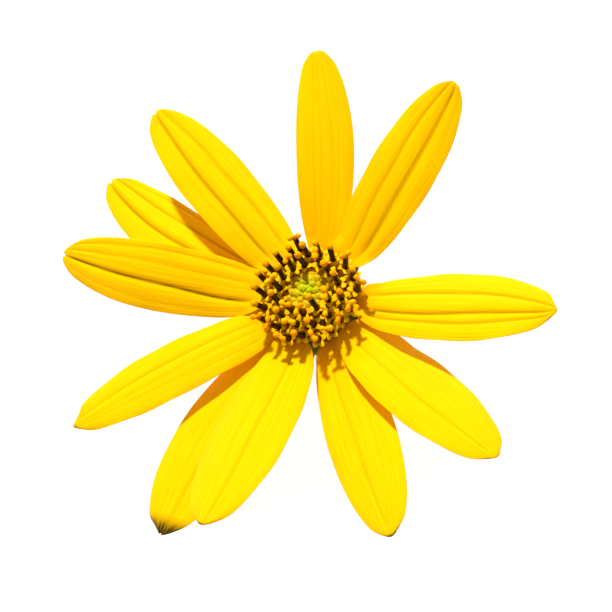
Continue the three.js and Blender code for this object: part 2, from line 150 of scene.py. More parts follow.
# One open floret a row: azimuth and radius of its mouth, its lean, the azimuth it leans towards,
# and whether the style has split into two curled branches.
Floret = namedtuple("Floret", "azimuth radius lean lean_azimuth split")
OPEN_FLORETS = [
    (318, 6.1, 20, 316, False), (338, 5.7, 16, 320, False), (358, 5.8, 9, 335, False),
    (16, 6.0, 13, 5, False), (38, 6.2, 17, 10, False), (58, 6.9, 16, 62, True),
    (77, 7.3, 14, 80, False), (92, 7.8, 20, 88, True), (117, 7.7, 16, 135, True),
    (134, 7.6, 17, 145, True), (151, 8.1, 17, 170, True), (167, 8.5, 15, 185, True),
    (184, 7.6, 20, 215, False), (200, 8.3, 19, 211, True), (217, 7.5, 18, 235, True),
    (233, 7.9, 18, 236, True), (249, 7.4, 18, 247, False), (266, 6.9, 22, 285, False),
    (283, 6.8, 21, 305, False), (300, 6.4, 14, 290, False), (347, 7.0, 22, 345, True),
    (108, 5.8, 12, 130, False), (142, 5.9, 12, 150, True), (168, 6.2, 12, 200, False),
    (193, 6.1, 14, 215, True), (222, 5.6, 10, 200, False),
    (352, 3.9, 9, 320, False), (28, 4.3, 10, 0, True), (59, 4.2, 9, 330, False),
    (84, 5.0, 8, 350, False), (122, 4.2, 11, 130, True), (152, 4.1, 20, 315, False),
    (184, 4.3, 12, 190, True), (210, 4.2, 12, 215, True), (244, 4.9, 12, 305, False),
    (272, 4.4, 10, 290, True), (297, 4.3, 12, 330, False), (325, 4.1, 10, 320, True),
]

# Closed buds in the middle
BUD_COUNT = 19
HALF_OPEN_COUNT = 15                  # golden buds round the green ones
BUD_SPACING = 0.63
BUD_TOP = 15.1
BUD_FALL = 0.07
BUD_ROOT = 11.8
BUD_ROOT_SHARE = 0.85
BUD_DOME = [(0, 7.65), (2.9, 7.3), (2.95, 12), (2.2, 13.1), (0, 13.6)]
BUD_HEIGHTS = [0, 0.3, 0.5, 0.64, 0.76, 0.85, 0.92, 0.965, 0.99, 1.0]   # shares of its length
BUD_RADII = [0.3, 0.42, 0.52, 0.62, 0.65, 0.6, 0.47, 0.31, 0.16, 0.03]
GOLDEN_ANGLE = 137.508

# Receptacle and bracts
CUT_RADIUS = 2.2
RECEPTACLE = [
    (0, 0), (CUT_RADIUS, 0), (2.3, 1.5), (3.4, 2.4), (5.4, 3.2), (6.9, 4.3), (7.1, 5.2),
    (6.4, 5.6), (4.6, 6.5), (2.4, 7.1), (0, 7.3),
]
BRACT_SHARES = [0.5, 1, 0.9, 0.58, 0.12]
BRACT_KEEL = 1.1
KEEL_AT_TIP = 0.4
BRACT_THICKNESS = 0.34
TIP_HEIGHT = BRACT_KEEL * (KEEL_AT_TIP + (1 - KEEL_AT_TIP) * BRACT_SHARES[4])

# Each series of bracts: its half width, its azimuths, and the side view of the upper face from the
# root outwards as (radius, height).
BRACT_SERIES = [
    (1.4, [10, 34, 86, 110, 134, 162, 202, 228, 254, 282, 308, 333],
     [(6.4, 4.6), (7.7, 6.6), (8.8, 7.2), (9.9, 7.2), (10.9, 6.7)]),
    (1.5, [21, 71, 97, 122, 147, 167, 201, 218, 241, 268, 296, 322, 350],
     [(5.2, 3.9), (7.3, 4.6), (8.9, 4.2), (10.2, 3.1), (11.2, 1.6)]),
    (1.4, [4, 76, 106, 134, 160, 207, 232, 258, 286, 312],
     [(4.0, 3.2), (6.0, 3.4), (7.8, 2.8), (9.3, 1.7), (10.4, TIP_HEIGHT)]),
]

# Camera: it is tilted off the vertical, so that the head leans away from it towards an azimuth
CAMERA_LEAN = -32.5
CAMERA_TILT = 29.0
CAMERA_DISTANCE = 450.0
CAMERA_TARGET_HEIGHT = 10.0
CAMERA_OFFSET = (-1.344, -0.891)      # millimetres right and up in the picture
LENS = 169.4
SENSOR = 36.0

# Light and floor
KEY_AZIMUTH = -10.0
KEY_SLOPE = 52.0
KEY_DISTANCE = 1.2                    # metres
KEY_SIZE = 0.1
KEY_POWER = 24.0
SKY = 0.43
FLOOR_SIZE = 6.0
FLOOR_GREY = 0.2
FLOOR_GLOW = 0.95

# First seeds of the random draws
COROLLA_SEED, POLLEN_SEED, STYLE_SEED, BUD_SEED, BRACT_SEED = 100, 200, 300, 400, 500
SCALE_SEED, RIM_SEED = 7, 8
NOISE_SEED = 1                        # without it Blender's noise vectors change from run to run


# Geometry

def point_at(azimuth, radius, height):
    azimuth, radius, height = np.broadcast_arrays(
        np.radians(azimuth), np.asarray(radius, float), np.asarray(height, float))
    return np.stack([radius * np.sin(azimuth), radius * np.cos(azimuth), height], axis=-1)


def bearing(azimuth, slope):
    slope = np.radians(slope)
    return point_at(azimuth, np.cos(slope), np.sin(slope))


def unit(vector):
    return vector / np.linalg.norm(vector, axis=-1, keepdims=True)


def smooth(value, low, high):
    """0 at low and below, 1 at high and above, and an S curve between."""
    t = np.clip((np.asarray(value, float) - low) / (high - low), 0, 1)
    return t * t * (3 - 2 * t)


def smooth_path(points, count):
    """A Catmull-Rom curve through the points, cut into count points."""
    points = np.asarray(points, float)
    ends = [2 * points[0] - points[1], 2 * points[-1] - points[-2]]
    padded = np.vstack([ends[0], points, ends[1]])
    place = np.linspace(0, len(points) - 1, count)
    i = np.minimum(place.astype(int), len(points) - 2)
    t = (place - i)[:, None]
    a, b, c, d = (padded[i + k] for k in range(4))
    return 0.5 * (2 * b + (c - a) * t + (2 * a - 5 * b + 4 * c - d) * t ** 2
                  + (3 * b - a - 3 * c + d) * t ** 3)


class Skin:
    """Collects patches of one mesh: corners, faces, surface places, finishes and painted values."""

    def __init__(self, *painted):
        self.points = []
        self.faces = []
        self.places = []
        self.finishes = []
        self.painted = {name: [] for name in painted}
        self.count = 0

    def add(self, points, faces, places=None, finish=0, **values):
        points = np.asarray(points, float).reshape(-1, 3)
        n = len(points)
        self.points.append(points)
        self.faces += [tuple(corner + self.count for corner in face) for face in faces]
        self.finishes += [finish] * len(faces)
        self.places.append(np.zeros((n, 2)) if places is None else places.reshape(-1, 2))
        for name, stored in self.painted.items():
            value = np.asarray(values.get(name, 0.0), float).ravel()
            stored.append(np.broadcast_to(value, (n,)))
        self.count += n

    def sheet(self, grid, closed=False, caps=(False, False), finish=0, **values):
        """A grid of corners, rows by columns. closed joins its last column to its first, and caps
        close its first and last row. Its places are the shares across and along."""
        rows, columns = grid.shape[:2]
        across = columns if closed else columns - 1
        faces = []
        for i in range(rows - 1):
            for j in range(across):
                k = (j + 1) % columns
                faces.append((i * columns + j, i * columns + k,
                              (i + 1) * columns + k, (i + 1) * columns + j))
        places = np.stack(np.meshgrid(np.linspace(0, 1, columns), np.linspace(0, 1, rows)), -1)
        if caps[0]:
            faces.append(tuple(range(columns))[::-1])
        if caps[1]:
            faces.append(tuple((rows - 1) * columns + j for j in range(columns)))
        places = values.pop("places", places)
        self.add(grid, faces, np.asarray(places, float), finish, **values)


def piece(name, skin, finishes, nodes, thickness=None):
    """Makes the mesh, which stands for the CAD nodes and rides on the root body."""
    mesh = bpy.data.meshes.new(name)
    mesh.from_pydata(np.vstack(skin.points) * METRES, [], skin.faces)
    for material in finishes:
        mesh.materials.append(material)
    mesh.polygons.foreach_set("material_index", skin.finishes)
    corners = np.zeros(len(mesh.loops), np.int32)
    mesh.loops.foreach_get("vertex_index", corners)
    layer = mesh.uv_layers.new(name="place")
    layer.data.foreach_set("uv", np.vstack(skin.places)[corners].astype(np.float32).ravel())
    for painted, values in skin.painted.items():
        attribute = mesh.attributes.new(painted, "FLOAT", "POINT")
        attribute.data.foreach_set("value", np.concatenate(values).astype(np.float32))
    work = bmesh.new()
    work.from_mesh(mesh)
    bmesh.ops.remove_doubles(work, verts=work.verts, dist=1e-7)
    bmesh.ops.recalc_face_normals(work, faces=work.faces)
    work.to_mesh(mesh)
    work.free()
    mesh.shade_smooth()
    made = bpy.data.objects.new(name, mesh)
    bpy.context.scene.collection.objects.link(made)
    if thickness:
        shell = made.modifiers.new("thickness", "SOLIDIFY")
        shell.thickness = thickness * METRES
        shell.offset = 0
    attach(made, "root")
    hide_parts(*nodes)


def rings(path, radii, sides, ribs=0.0, ribs_round=0, turn=0.0):
    """Rings of corners round a path. ribs is a share of the radius by which ribs_round ribs rise."""
    path = np.asarray(path, float)
    along = unit(np.gradient(path, axis=0))
    helper = np.array([0.0, 0.0, 1.0]) if abs(along[0][2]) < 0.8 else np.array([1.0, 0.0, 0.0])
    first = unit(np.cross(helper, along[0]))
    grid = []
    angle = np.radians(turn) + np.linspace(0, 2 * math.pi, sides, endpoint=False)
    for point, direction, radius in zip(path, along, radii):
        first = unit(first - direction * np.dot(first, direction))
        second = np.cross(direction, first)
        reach = radius * (1 + ribs * np.cos(ribs_round * (angle - np.radians(turn))))
        grid.append(point + reach[:, None] * (np.cos(angle)[:, None] * first
                                              + np.sin(angle)[:, None] * second))
    return np.array(grid)


def lathe(profile, sides):
    profile = np.asarray(profile, float)
    angle = np.linspace(0, 360, sides, endpoint=False)
    return point_at(angle[None, :], profile[:, :1], profile[:, 1:])


def lumpy(grid, amount, size, seed):
    """Pushes each corner by up to amount along a noise that changes over size."""
    flat = grid.reshape(-1, 3)
    shift = Vector((seed * 17.3, seed * 5.1, seed * 9.7))
    pushed = [p + amount * np.array(noise.noise_vector(Vector(p / size) + shift)) for p in flat]
    return np.array(pushed).reshape(grid.shape)


# Ray florets

def midrib(ray, shares):
    """Points and directions of a ray floret's midrib line at shares of its length."""
    azimuth, length, rise, fall, sweep, _, roll, tier = ray[:8]
    middles = (np.arange(LINE_STEPS) + 0.5) / LINE_STEPS
    steps = bearing(azimuth + sweep * (middles - TURN_CENTRE), rise + (fall - rise) * middles)
    start = point_at(azimuth, RAY_BASE_RADIUS, BASE_HEIGHT[tier])
    line = start + np.vstack([np.zeros(3), np.cumsum(steps, axis=0)]) * length / LINE_STEPS
    place = np.clip(shares, 0, 1) * LINE_STEPS
    point = np.stack([np.interp(place, range(LINE_STEPS + 1), line[:, k]) for k in range(3)], -1)
    heading = azimuth + sweep * (shares - TURN_CENTRE)
    along = bearing(heading, rise + (fall - rise) * shares)
    level = point_at(heading + 90, 1, 0)
    above = np.cross(level, along)
    turned = np.radians(roll) * np.minimum(shares / ROLL_REACHED, 1)[..., None]
    across = level * np.cos(turned) + above * np.sin(turned)
    up = above * np.cos(turned) - level * np.sin(turned)
    return point, along, across, up


def half_width(ray, shares):
    towards_tip = shares > WIDEST_AT
    blunt = math.sqrt(1 - (2 * ray.tip[0] / ray.width) ** (1 / TIP_ROUNDNESS))
    x = (shares - WIDEST_AT) / np.where(towards_tip, (1 - WIDEST_AT) / blunt, WIDEST_AT)
    roundness = np.where(towards_tip, TIP_ROUNDNESS, ray.foot_roundness)
    full = ray.width / 2 * np.maximum(1 - x * x, 0) ** roundness
    foot = CLAW_HALF_WIDTH + (full - CLAW_HALF_WIDTH) * np.minimum(shares / FOOT_TAPER, 1)
    return np.where(towards_tip, full, foot)


def tip_fall(tip, u):
    """How far the tip falls back at a place across the strap."""
    left, right, notch_place, notch_depth = tip[1:]
    corners = np.maximum(np.where(u < 0, left, right) - ROUND_SHARE * TIP_ROUND, 0) * u * u
    round_end = TIP_ROUND * (1 - np.sqrt(1 - ROUNDING * u * u))
    return corners + round_end + notch_depth * np.exp(-((u - notch_place) / NOTCH_WIDTH) ** 2)


def crease_place(row, share):
    """A curve through the places of one of the creases at the base, half way and at the tip."""
    base, middle, tip = row[:3]
    return (base * (1 - share) * (1 - 2 * share) + 4 * middle * share * (1 - share)
            + tip * share * (2 * share - 1))


def strap(skin, ray, number):
    """The strap of a ray floret, as closed loops round its cross-section."""
    even = np.linspace(0, 1, STRAP_ROWS)
    eased = (1 - np.cos(math.pi * even)) / 2
    share = (STRAP_START + (1 - STRAP_START) * (even + eased) / 2)[:, None]
    u = np.sin(np.linspace(-1, 1, STRAP_COLUMNS) * math.pi / 2 * 0.9) / math.sin(math.pi * 0.45)
    u = u[None, :]
    blend = np.clip((share - 1 + TIP_BLEND) / TIP_BLEND, 0, 1) ** 1.5
    placed = share - tip_fall(ray.tip, u) * blend / ray.length
    point, _, across, up = midrib(ray, placed)
    half = half_width(ray, share)

    rng = random.Random(number)
    fade = np.minimum(half / FULL_RIB_WIDTH, 1)
    lift = -CAMBER * half * u ** 2
    crease = np.zeros(lift.shape)
    for row in ray.creases:
        wander = CREASE_WANDER * np.sin(share * rng.uniform(9, 16) + rng.uniform(0, 6))
        away = np.abs(u - crease_place(row, share) - wander)
        ends = smooth(share, 0.02, 0.16) * (1 - 0.4 * smooth(share, 0.92, 1))
        groove = row[4] if len(row) > 4 else CREASE_WIDTH
        lift = lift - row[3] * fade * ends * np.exp(-away / groove)
        # Painted shade along the creases: how much the finish darkens the colour, more for deeper
        # creases and less for broad ones.
        line = row[3] / DEEP * CREASE_WIDTH / groove
        crease = crease + line * ends * np.exp(-(away / groove * 2) ** 2)
    ripple = np.sin(share * rng.uniform(20, 26) + rng.uniform(0, 6) + 2 * u)
    lift = lift + EDGE_RIPPLE * fade * np.abs(u) ** 5 * ripple
    lift = lift + CUP * half * np.abs(u) ** 1.5 * (1 - smooth(share, 0.02, CUPPED_UNTIL))

    ends = np.sqrt(np.clip((1 - even[:, None]) * 30, 0, 1))
    thick = STRAP_THICKNESS * np.sqrt(1 - np.abs(u) ** EDGE_SHARPNESS) * ends
    upper = point + across * (half * u)[..., None] + up * lift[..., None]
    upper = upper - up * ((STRAP_THICKNESS - thick) / 2)[..., None]
    lower = upper - up * thick[..., None]
    loops = np.concatenate([upper, lower[:, -2:0:-1]], axis=1)

    def both(value, below=None):
        below = value if below is None else below
        return np.concatenate([value, below[:, -2:0:-1]], axis=1)

    places = np.stack([both((u + 1) / 2 + 0 * share), both(share + 0 * u)], -1)
    left, right, reach = ray.stain
    stain = (left + (right - left) * (u + 1) / 2) * smooth(share, 1 - reach, 1.0)
    skin.sheet(loops, closed=True, caps=(True, False), places=places,
               crease=both(crease), stain=both(stain),
               under=both(0 * crease, 0 * crease + 1))


def ovary(skin, ray):
    """The ovary of a ray floret and the tube that carries the strap."""
    foot = point_at(ray.azimuth, RAY_FOOT_RADIUS, RAY_FOOT_HEIGHT)
    point, along, _, up = (v[0] for v in midrib(ray, np.array([STRAP_START * 2])))
    head = point - up * STRAP_THICKNESS / 2 + along * 0.2
    share = np.linspace(0, 1, 14)
    path = foot + (head - foot) * share[:, None]
    radii = np.interp(share, OVARY_SHARES, OVARY_RADII)
    grid = rings(path, radii, 20, ribs=0.06, ribs_round=5)
    skin.sheet(grid, closed=True, caps=(True, True), finish=1)


def ray_floret(number, ray, finishes):
    skin = Skin("crease", "stain", "under")
    strap(skin, ray, number)
    ovary(skin, ray)
    node = f"ray_floret_{number:02d}"
    piece(f"ray_strap_{number:02d}", skin, finishes, [node])


# Disc florets

def stand(floret):
    """Foot, mouth and axis of an open floret."""
    azimuth, radius, lean, lean_azimuth = floret[:4]
    foot_radius = min(DISC_FOOT_RADII[0] + (radius - INNERMOST_MOUTH) * DISC_FOOT_SHARE,
                      DISC_FOOT_RADII[1])
    foot = point_at(azimuth, foot_radius, DISC_FOOT_HEIGHT)
    mouth = point_at(azimuth, radius, MOUTH_TOP - MOUTH_FALL * radius * radius)
    return foot, mouth, bearing(lean_azimuth, 90 - lean)


def frame_of(axis, azimuth):
    """Two directions square to the axis, the first one nearest to the azimuth."""
    out = point_at(azimuth, 1, 0)
    out = unit(out - axis * np.dot(out, axis))
    return out, np.cross(axis, out)


def corolla(skin, floret, number):
    """A tube that widens into a bell with five pointed lobes, which curl outwards."""
    foot, mouth, axis = stand(floret)
    rng = random.Random(COROLLA_SEED + number)
    tube_axis = unit(mouth - foot)
    first, second = frame_of(axis, floret.azimuth + 180 / LOBES + rng.uniform(-12, 12))
    per_lobe = 8
    sides = LOBES * per_lobe
    angle = np.linspace(0, 2 * math.pi, sides, endpoint=False)
    share = np.linspace(0, 1, 12)
    radii = np.interp(share, COROLLA_SHARES, COROLLA_RADII)
    grid = []
    for s, radius in zip(share, radii):
        centre = foot + (mouth - foot) * s - axis * 0.12 * s
        ridge = radius * (1 + 0.05 * np.cos(LOBES * angle) * smooth(s, 0.2, 0.6))
        grid.append(centre + ridge[:, None] * (np.cos(angle)[:, None] * first
                                               + np.sin(angle)[:, None] * second))
    grid = np.array(grid)
    skin.sheet(grid, closed=True, lobe=np.repeat(share * 0.5, sides))
    rows, columns = 7, per_lobe + 1
    for lobe in range(LOBES):
        middle = 2 * math.pi * lobe / LOBES
        reach = LOBE_REACH * rng.uniform(1.12, 1.34)
        curl = rng.uniform(0.1, 0.42)
        q = np.linspace(0, 1, rows)[:, None]
        spread = (np.linspace(-1, 1, columns)[None, :] * math.pi / LOBES) * (1 - q ** 1.6)
        out = COROLLA_RADII[-1] + (reach - COROLLA_RADII[-1]) * q
        rise = -0.12 + 0.24 * q - curl * q ** 2.2 + 0.07 * (1 - q) * np.cos(
            np.linspace(-1, 1, columns)[None, :] * math.pi / 2)
        a = middle + spread
        fold = 0.1 * np.abs(np.linspace(-1, 1, columns))[None, :] * q * (1 - q)
        patch = mouth + (out * np.cos(a))[..., None] * first + (out * np.sin(a))[..., None] * second
        patch = patch + axis * (rise + fold)[..., None]
        skin.sheet(patch, lobe=(0.5 + 0.5 * q + 0 * a))


def anther_tube(skin, floret, number):
    """Five dark anthers grown into one tube, with a pale seam between each two."""
    _, mouth, axis = stand(floret)
    first, second = frame_of(axis, floret.azimuth + 31 * number)
    sides = 40
    angle = np.linspace(0, 2 * math.pi, sides, endpoint=False)
    groove = np.abs(np.cos(LOBES / 2 * angle)) ** 16
    height = np.array(ANTHER_HEIGHTS)
    radii = ANTHER_RADIUS * np.array(ANTHER_SHARES)
    grid = []
    for h, radius in zip(height, radii):
        teeth = 0.14 * np.abs(np.sin(LOBES / 2 * angle)) * smooth(h, 2.5, 2.9)
        reach = radius * (1 - 0.1 * groove)
        grid.append(mouth + axis * (h + teeth)[:, None]
                    + reach[:, None] * (np.cos(angle)[:, None] * first
                                        + np.sin(angle)[:, None] * second))
    seam = np.tile(groove, (len(height), 1))
    tip = np.repeat(smooth(height, 2.55, 2.9), sides)
    skin.sheet(np.array(grid), closed=True, caps=(True, True), seam=seam, tip=tip)


def blob(centre, axis, radii, seed, rows=12, sides=16, amount=0.08, size=0.22):
    """A lumpy ball, radii across and along the axis."""
    first, second = frame_of(axis, 0)
    polar = np.linspace(0.04, math.pi - 0.04, rows)[:, None]
    round_it = np.linspace(0, 2 * math.pi, sides, endpoint=False)[None, :]
    across = radii[0] * np.sin(polar)
    grid = (centre - axis * (radii[1] * np.cos(polar + 0 * round_it))[..., None]
            + (across * np.cos(round_it))[..., None] * first
            + (across * np.sin(round_it))[..., None] * second)
    return lumpy(grid, amount, size, seed)


def grains(skin, centre, reach, count, rng, low=-0.2):
    """Pollen grains scattered over a ball."""
    for _ in range(count):
        azimuth, height = rng.uniform(0, 360), rng.uniform(low, 1)
        away = point_at(azimuth, math.sqrt(1 - height * height), height)
        radius = rng.uniform(0.045, 0.075)
        grid = blob(centre + away * reach, away, (radius, radius), 0, rows=5, sides=6, amount=0)
        skin.sheet(grid, closed=True, caps=(True, True), lit=0.9)


def pollen_cap(skin, floret, number):
    """The mass of pollen that the style pushes out of the anther tube."""
    _, mouth, axis = stand(floret)
    rng = random.Random(POLLEN_SEED + number)
    centre = mouth + axis * (ANTHER_LENGTH - 0.05)
    radius = POLLEN_RADIUS * rng.uniform(0.88, 1.08)
    grid = blob(centre, axis, (radius, radius * rng.uniform(0.85, 1.15)),
                POLLEN_SEED + number)
    skin.sheet(grid, closed=True, caps=(True, True), lit=rng.uniform(0.2, 0.7))
    grains(skin, centre, radius, 22, rng)


def style_branches(skin, floret, number):
    """The two branches of a style, which curl outwards and down into lumps of pollen."""
    _, mouth, axis = stand(floret)
    rng = random.Random(STYLE_SEED + number)
    top = mouth + axis * (ANTHER_LENGTH - 0.45)
    towards = rng.uniform(0, 180)
    sides = 14
    for side in (0, 180):
        out, _ = frame_of(axis, towards + side + rng.uniform(-35, 35))
        turn = np.linspace(0, math.radians(rng.uniform(150, 200)), 16)
        radius = rng.uniform(0.32, 0.42)
        base = top + out * 0.1 + axis * 0.3
        curl = base + out * (radius * (1 - np.cos(turn)))[:, None] \
            + axis * (radius * np.sin(turn))[:, None]
        path = np.vstack([top, curl])
        share = np.linspace(0, 1, len(path))
        plump = rng.uniform(0.9, 1.15)
        radii = plump * np.interp(share, BRANCH_SHARES, BRANCH_RADII)
        grid = lumpy(rings(path, radii, sides), 0.09, 0.35, STYLE_SEED + number + side)
        skin.sheet(grid, closed=True, caps=(True, True), lit=rng.uniform(0.3, 0.9))
        grains(skin, path[-4], 0.42, 12, rng)


def scale(skin, base, tip, side, half, seed, tint):
    """A pointed scale of chaff, folded along its middle."""
    share = np.linspace(0, 1, 9)[:, None]
    u = np.linspace(-1, 1, 5)[None, :]
    width = half * np.interp(share, [0, 0.6, 0.85, 1], [0.6, 1, 0.7, 0.04])
    out = unit(np.cross(side, tip - base))
    middle = base + (tip - base) * share[..., None]
    grid = middle + side * (width * u)[..., None] + out * (0.35 * width * u ** 2)[..., None]
    # Painted shade: lit rises from the root to the tip, so a scale is darker down among the florets.
    skin.sheet(lumpy(grid, 0.05, 0.8, seed), lit=share + 0 * u, tint=tint)


def chaff(skin):
    """Scales between the florets, each a golden angle on from the one before."""
    rng = random.Random(SCALE_SEED)
    for n in range(SCALE_COUNT):
        radius = SCALE_SPACING * math.sqrt(n + 0.5)
        azimuth = (n + 0.5) * GOLDEN_ANGLE
        height = MOUTH_TOP - 0.85 - 0.045 * radius * radius + rng.uniform(-0.3, 0.3)
        tip = point_at(azimuth, radius * 1.12, height)
        base = point_at(azimuth, radius * 0.8, SCALE_ROOT_HEIGHT)
        side = point_at(azimuth + 90 + rng.uniform(-20, 20), 1, 0)
        scale(skin, base, tip, side, rng.uniform(0.38, 0.55), n, rng.uniform(0, 1))


def chaff_rim(skin):
    """Scales round the foot of the disc, outside the outermost florets."""
    rng = random.Random(RIM_SEED)
    for n in range(RIM_COUNT):
        azimuth = n * 360 / RIM_COUNT + rng.uniform(-4, 4)
        base = point_at(azimuth, *RIM_FOOT)
        tip = point_at(azimuth, rng.uniform(6.2, 7.0), rng.uniform(11.2, 12.6))
        side = point_at(azimuth + 90, 1, 0)
        scale(skin, base, tip, side, rng.uniform(0.55, 0.75), 50 + n, rng.uniform(0, 1))


def bud(skin, n):
    """A floret that hasn't opened: five blunt valves that meet in a star."""
    rng = random.Random(BUD_SEED + n)
    radius = BUD_SPACING * math.sqrt(n)
    azimuth = n * GOLDEN_ANGLE
    size = (1.1 + 0.24 * radius / 2.7) * rng.uniform(0.82, 1.18)
    root = point_at(azimuth, radius * BUD_ROOT_SHARE, BUD_ROOT)
    top = point_at(azimuth, radius, BUD_TOP - BUD_FALL * radius * radius)
    length = np.linalg.norm(top - root)
    axis = (top - root) / length
    first, second = frame_of(axis, azimuth + rng.uniform(0, 72))
    sides = 30
    angle = np.linspace(0, 2 * math.pi, sides, endpoint=False)
    valve = np.abs(np.cos(LOBES / 2 * angle))
    height = np.array(BUD_HEIGHTS)
    radii = np.array(BUD_RADII) * size
    grid = []
    for h, r in zip(height, radii):
        groove = smooth(h, 0.5, 0.8)
        reach = r * (1 - 0.09 * groove * (1 - valve) ** 2)
        sink = 0.05 * (1 - valve) ** 2 * smooth(h, 0.8, 0.95) * (1 - smooth(h, 0.97, 1))
        grid.append(root + axis * (h * length - sink)[:, None]
                    + reach[:, None] * (np.cos(angle)[:, None] * first
                                        + np.sin(angle)[:, None] * second))
    # Painted shade: a bud is darker low down, where the buds crowd each other, and in the grooves
    # between its valves.
    lit = (0.6 + 0.4 * np.tile(valve, (len(height), 1))) * smooth(height, 0.45, 0.8)[:, None]
    young = np.clip(1.15 - radius / 2.3, 0, 1) * rng.uniform(0.8, 1)
    skin.sheet(np.array(grid), closed=True, caps=(True, True), lit=lit, tint=young)


# Receptacle and bracts

def bract_line(path, count):
    """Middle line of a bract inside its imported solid, and its share of the half width."""
    share = np.linspace(0, 1, len(path))
    keels = BRACT_KEEL * (KEEL_AT_TIP + (1 - KEEL_AT_TIP) * np.array(BRACT_SHARES))
    middle = np.array([(radius, height - keel / 2) for (radius, height), keel in zip(path, keels)])
    line = smooth_path(middle, count)
    width = np.interp(np.linspace(0, 1, count), share, BRACT_SHARES)
    return line, width


def bract(skin, hairs, half, azimuth, path, seed):
    """A pointed leaf with a midrib and veins, and the hairs on its edges and faces."""
    rng = random.Random(seed)
    rows, columns = 26, 13
    line, width = bract_line(path, rows)
    share = np.linspace(0, 1, rows)
    width = width * (1 - 0.9 * smooth(share, 0.93, 1))
    u = np.sin(np.linspace(-1, 1, columns) * math.pi / 2)[None, :]
    middle = point_at(azimuth + rng.uniform(-1.5, 1.5) * share, line[:, 0], line[:, 1])
    along = unit(np.gradient(middle, axis=0))
    side = point_at(azimuth + 90, 1, 0) + 0 * middle
    up = unit(np.cross(side, along))
    wide = (half * width)[:, None]
    vein = np.exp(-(u / 0.1) ** 2)
    lift = 0.16 * wide * u ** 2 - 0.05 * vein + 0.03 * np.sin(share[:, None] * 19 + 3 * u)
    thick = BRACT_THICKNESS * np.sqrt(1 - u ** 4) * (1 - 0.7 * smooth(share, 0.8, 1))[:, None]
    ridge = 0.16 * vein * (1 - smooth(share, 0.85, 1))[:, None]
    base = middle[:, None] + side[:, None] * (wide * u)[..., None]
    upper = base + up[:, None] * (lift + thick / 2)[..., None]
    lower = base + up[:, None] * (lift - thick / 2 - ridge)[..., None]
    lower[..., 2] = np.maximum(lower[..., 2], 0.0)
    loops = np.concatenate([upper, lower[:, -2:0:-1]], axis=1)
    across = np.concatenate([u, u[:, -2:0:-1]], axis=1)
    places = np.stack([(across + 1) / 2 + 0 * share[:, None], share[:, None] + 0 * across], -1)
    skin.sheet(loops, closed=True, caps=(True, True), places=places,
               lit=share[:, None] + 0 * across, tint=rng.uniform(0, 1))
    for i in range(2, rows - 1):
        for edge in (0, -1):
            for _ in range(2):
                hair(hairs, upper[i, edge] + rng.uniform(-0.4, 0.4) * (middle[i] - middle[i - 1]),
                     side[i] * (1 if edge else -1) + along[i] * rng.uniform(0.2, 1.2)
                     + up[i] * rng.uniform(-0.5, 0.5), rng)
    for _ in range(34):
        i, j = rng.randrange(1, rows - 2), rng.randrange(1, columns - 1)
        face = rng.choice((1, -1))
        root = (upper if face > 0 else lower)[i, j]
        hair(hairs, root, up[i] * face + along[i] * rng.uniform(0.3, 1.0)
             + side[i] * rng.uniform(-0.5, 0.5), rng)


def hair(skin, root, direction, rng):
    """A short stiff hair, a thin cone with three sides. None reaches below the floor."""
    tip = root + unit(direction) * rng.uniform(0.25, 0.6)
    if tip[2] < 0.05:
        return
    radius = rng.uniform(0.018, 0.03)
    grid = rings([root, root + (tip - root) * 0.5, tip], [radius, radius * 0.7, 0.004], 3)
    skin.sheet(grid, closed=True, caps=(True, True))


def receptacle(skin):
    """The cushion, with faint ribs near the flat cut."""
    profile = smooth_path(RECEPTACLE[1:-1], 60)
    sides = 72
    profile = np.vstack([[(0.0, 0.0), (1.1, 0.0)], profile, [(1.2, 7.25), (0.0, 7.3)]])
    profile[:, 1] = np.maximum(profile[:, 1], 0)
    grid = lathe(profile, sides)
    angle = np.linspace(0, 2 * math.pi, sides, endpoint=False)
    ribbed = (smooth(profile[:, 1], 0.1, 0.8) * (1 - smooth(profile[:, 1], 3, 5)))[:, None]
    swell = 1 + 0.025 * ribbed * np.cos(9 * angle)[None, :]
    grid[..., :2] *= swell[..., None]
    radius = np.linalg.norm(grid[..., :2], axis=-1)
    cut = (grid[..., 2] < 0.02) & (radius < CUT_RADIUS + 0.05)
    skin.sheet(grid, closed=True, lit=0.5, tint=0.4, cut=cut.astype(float))


# Finishes

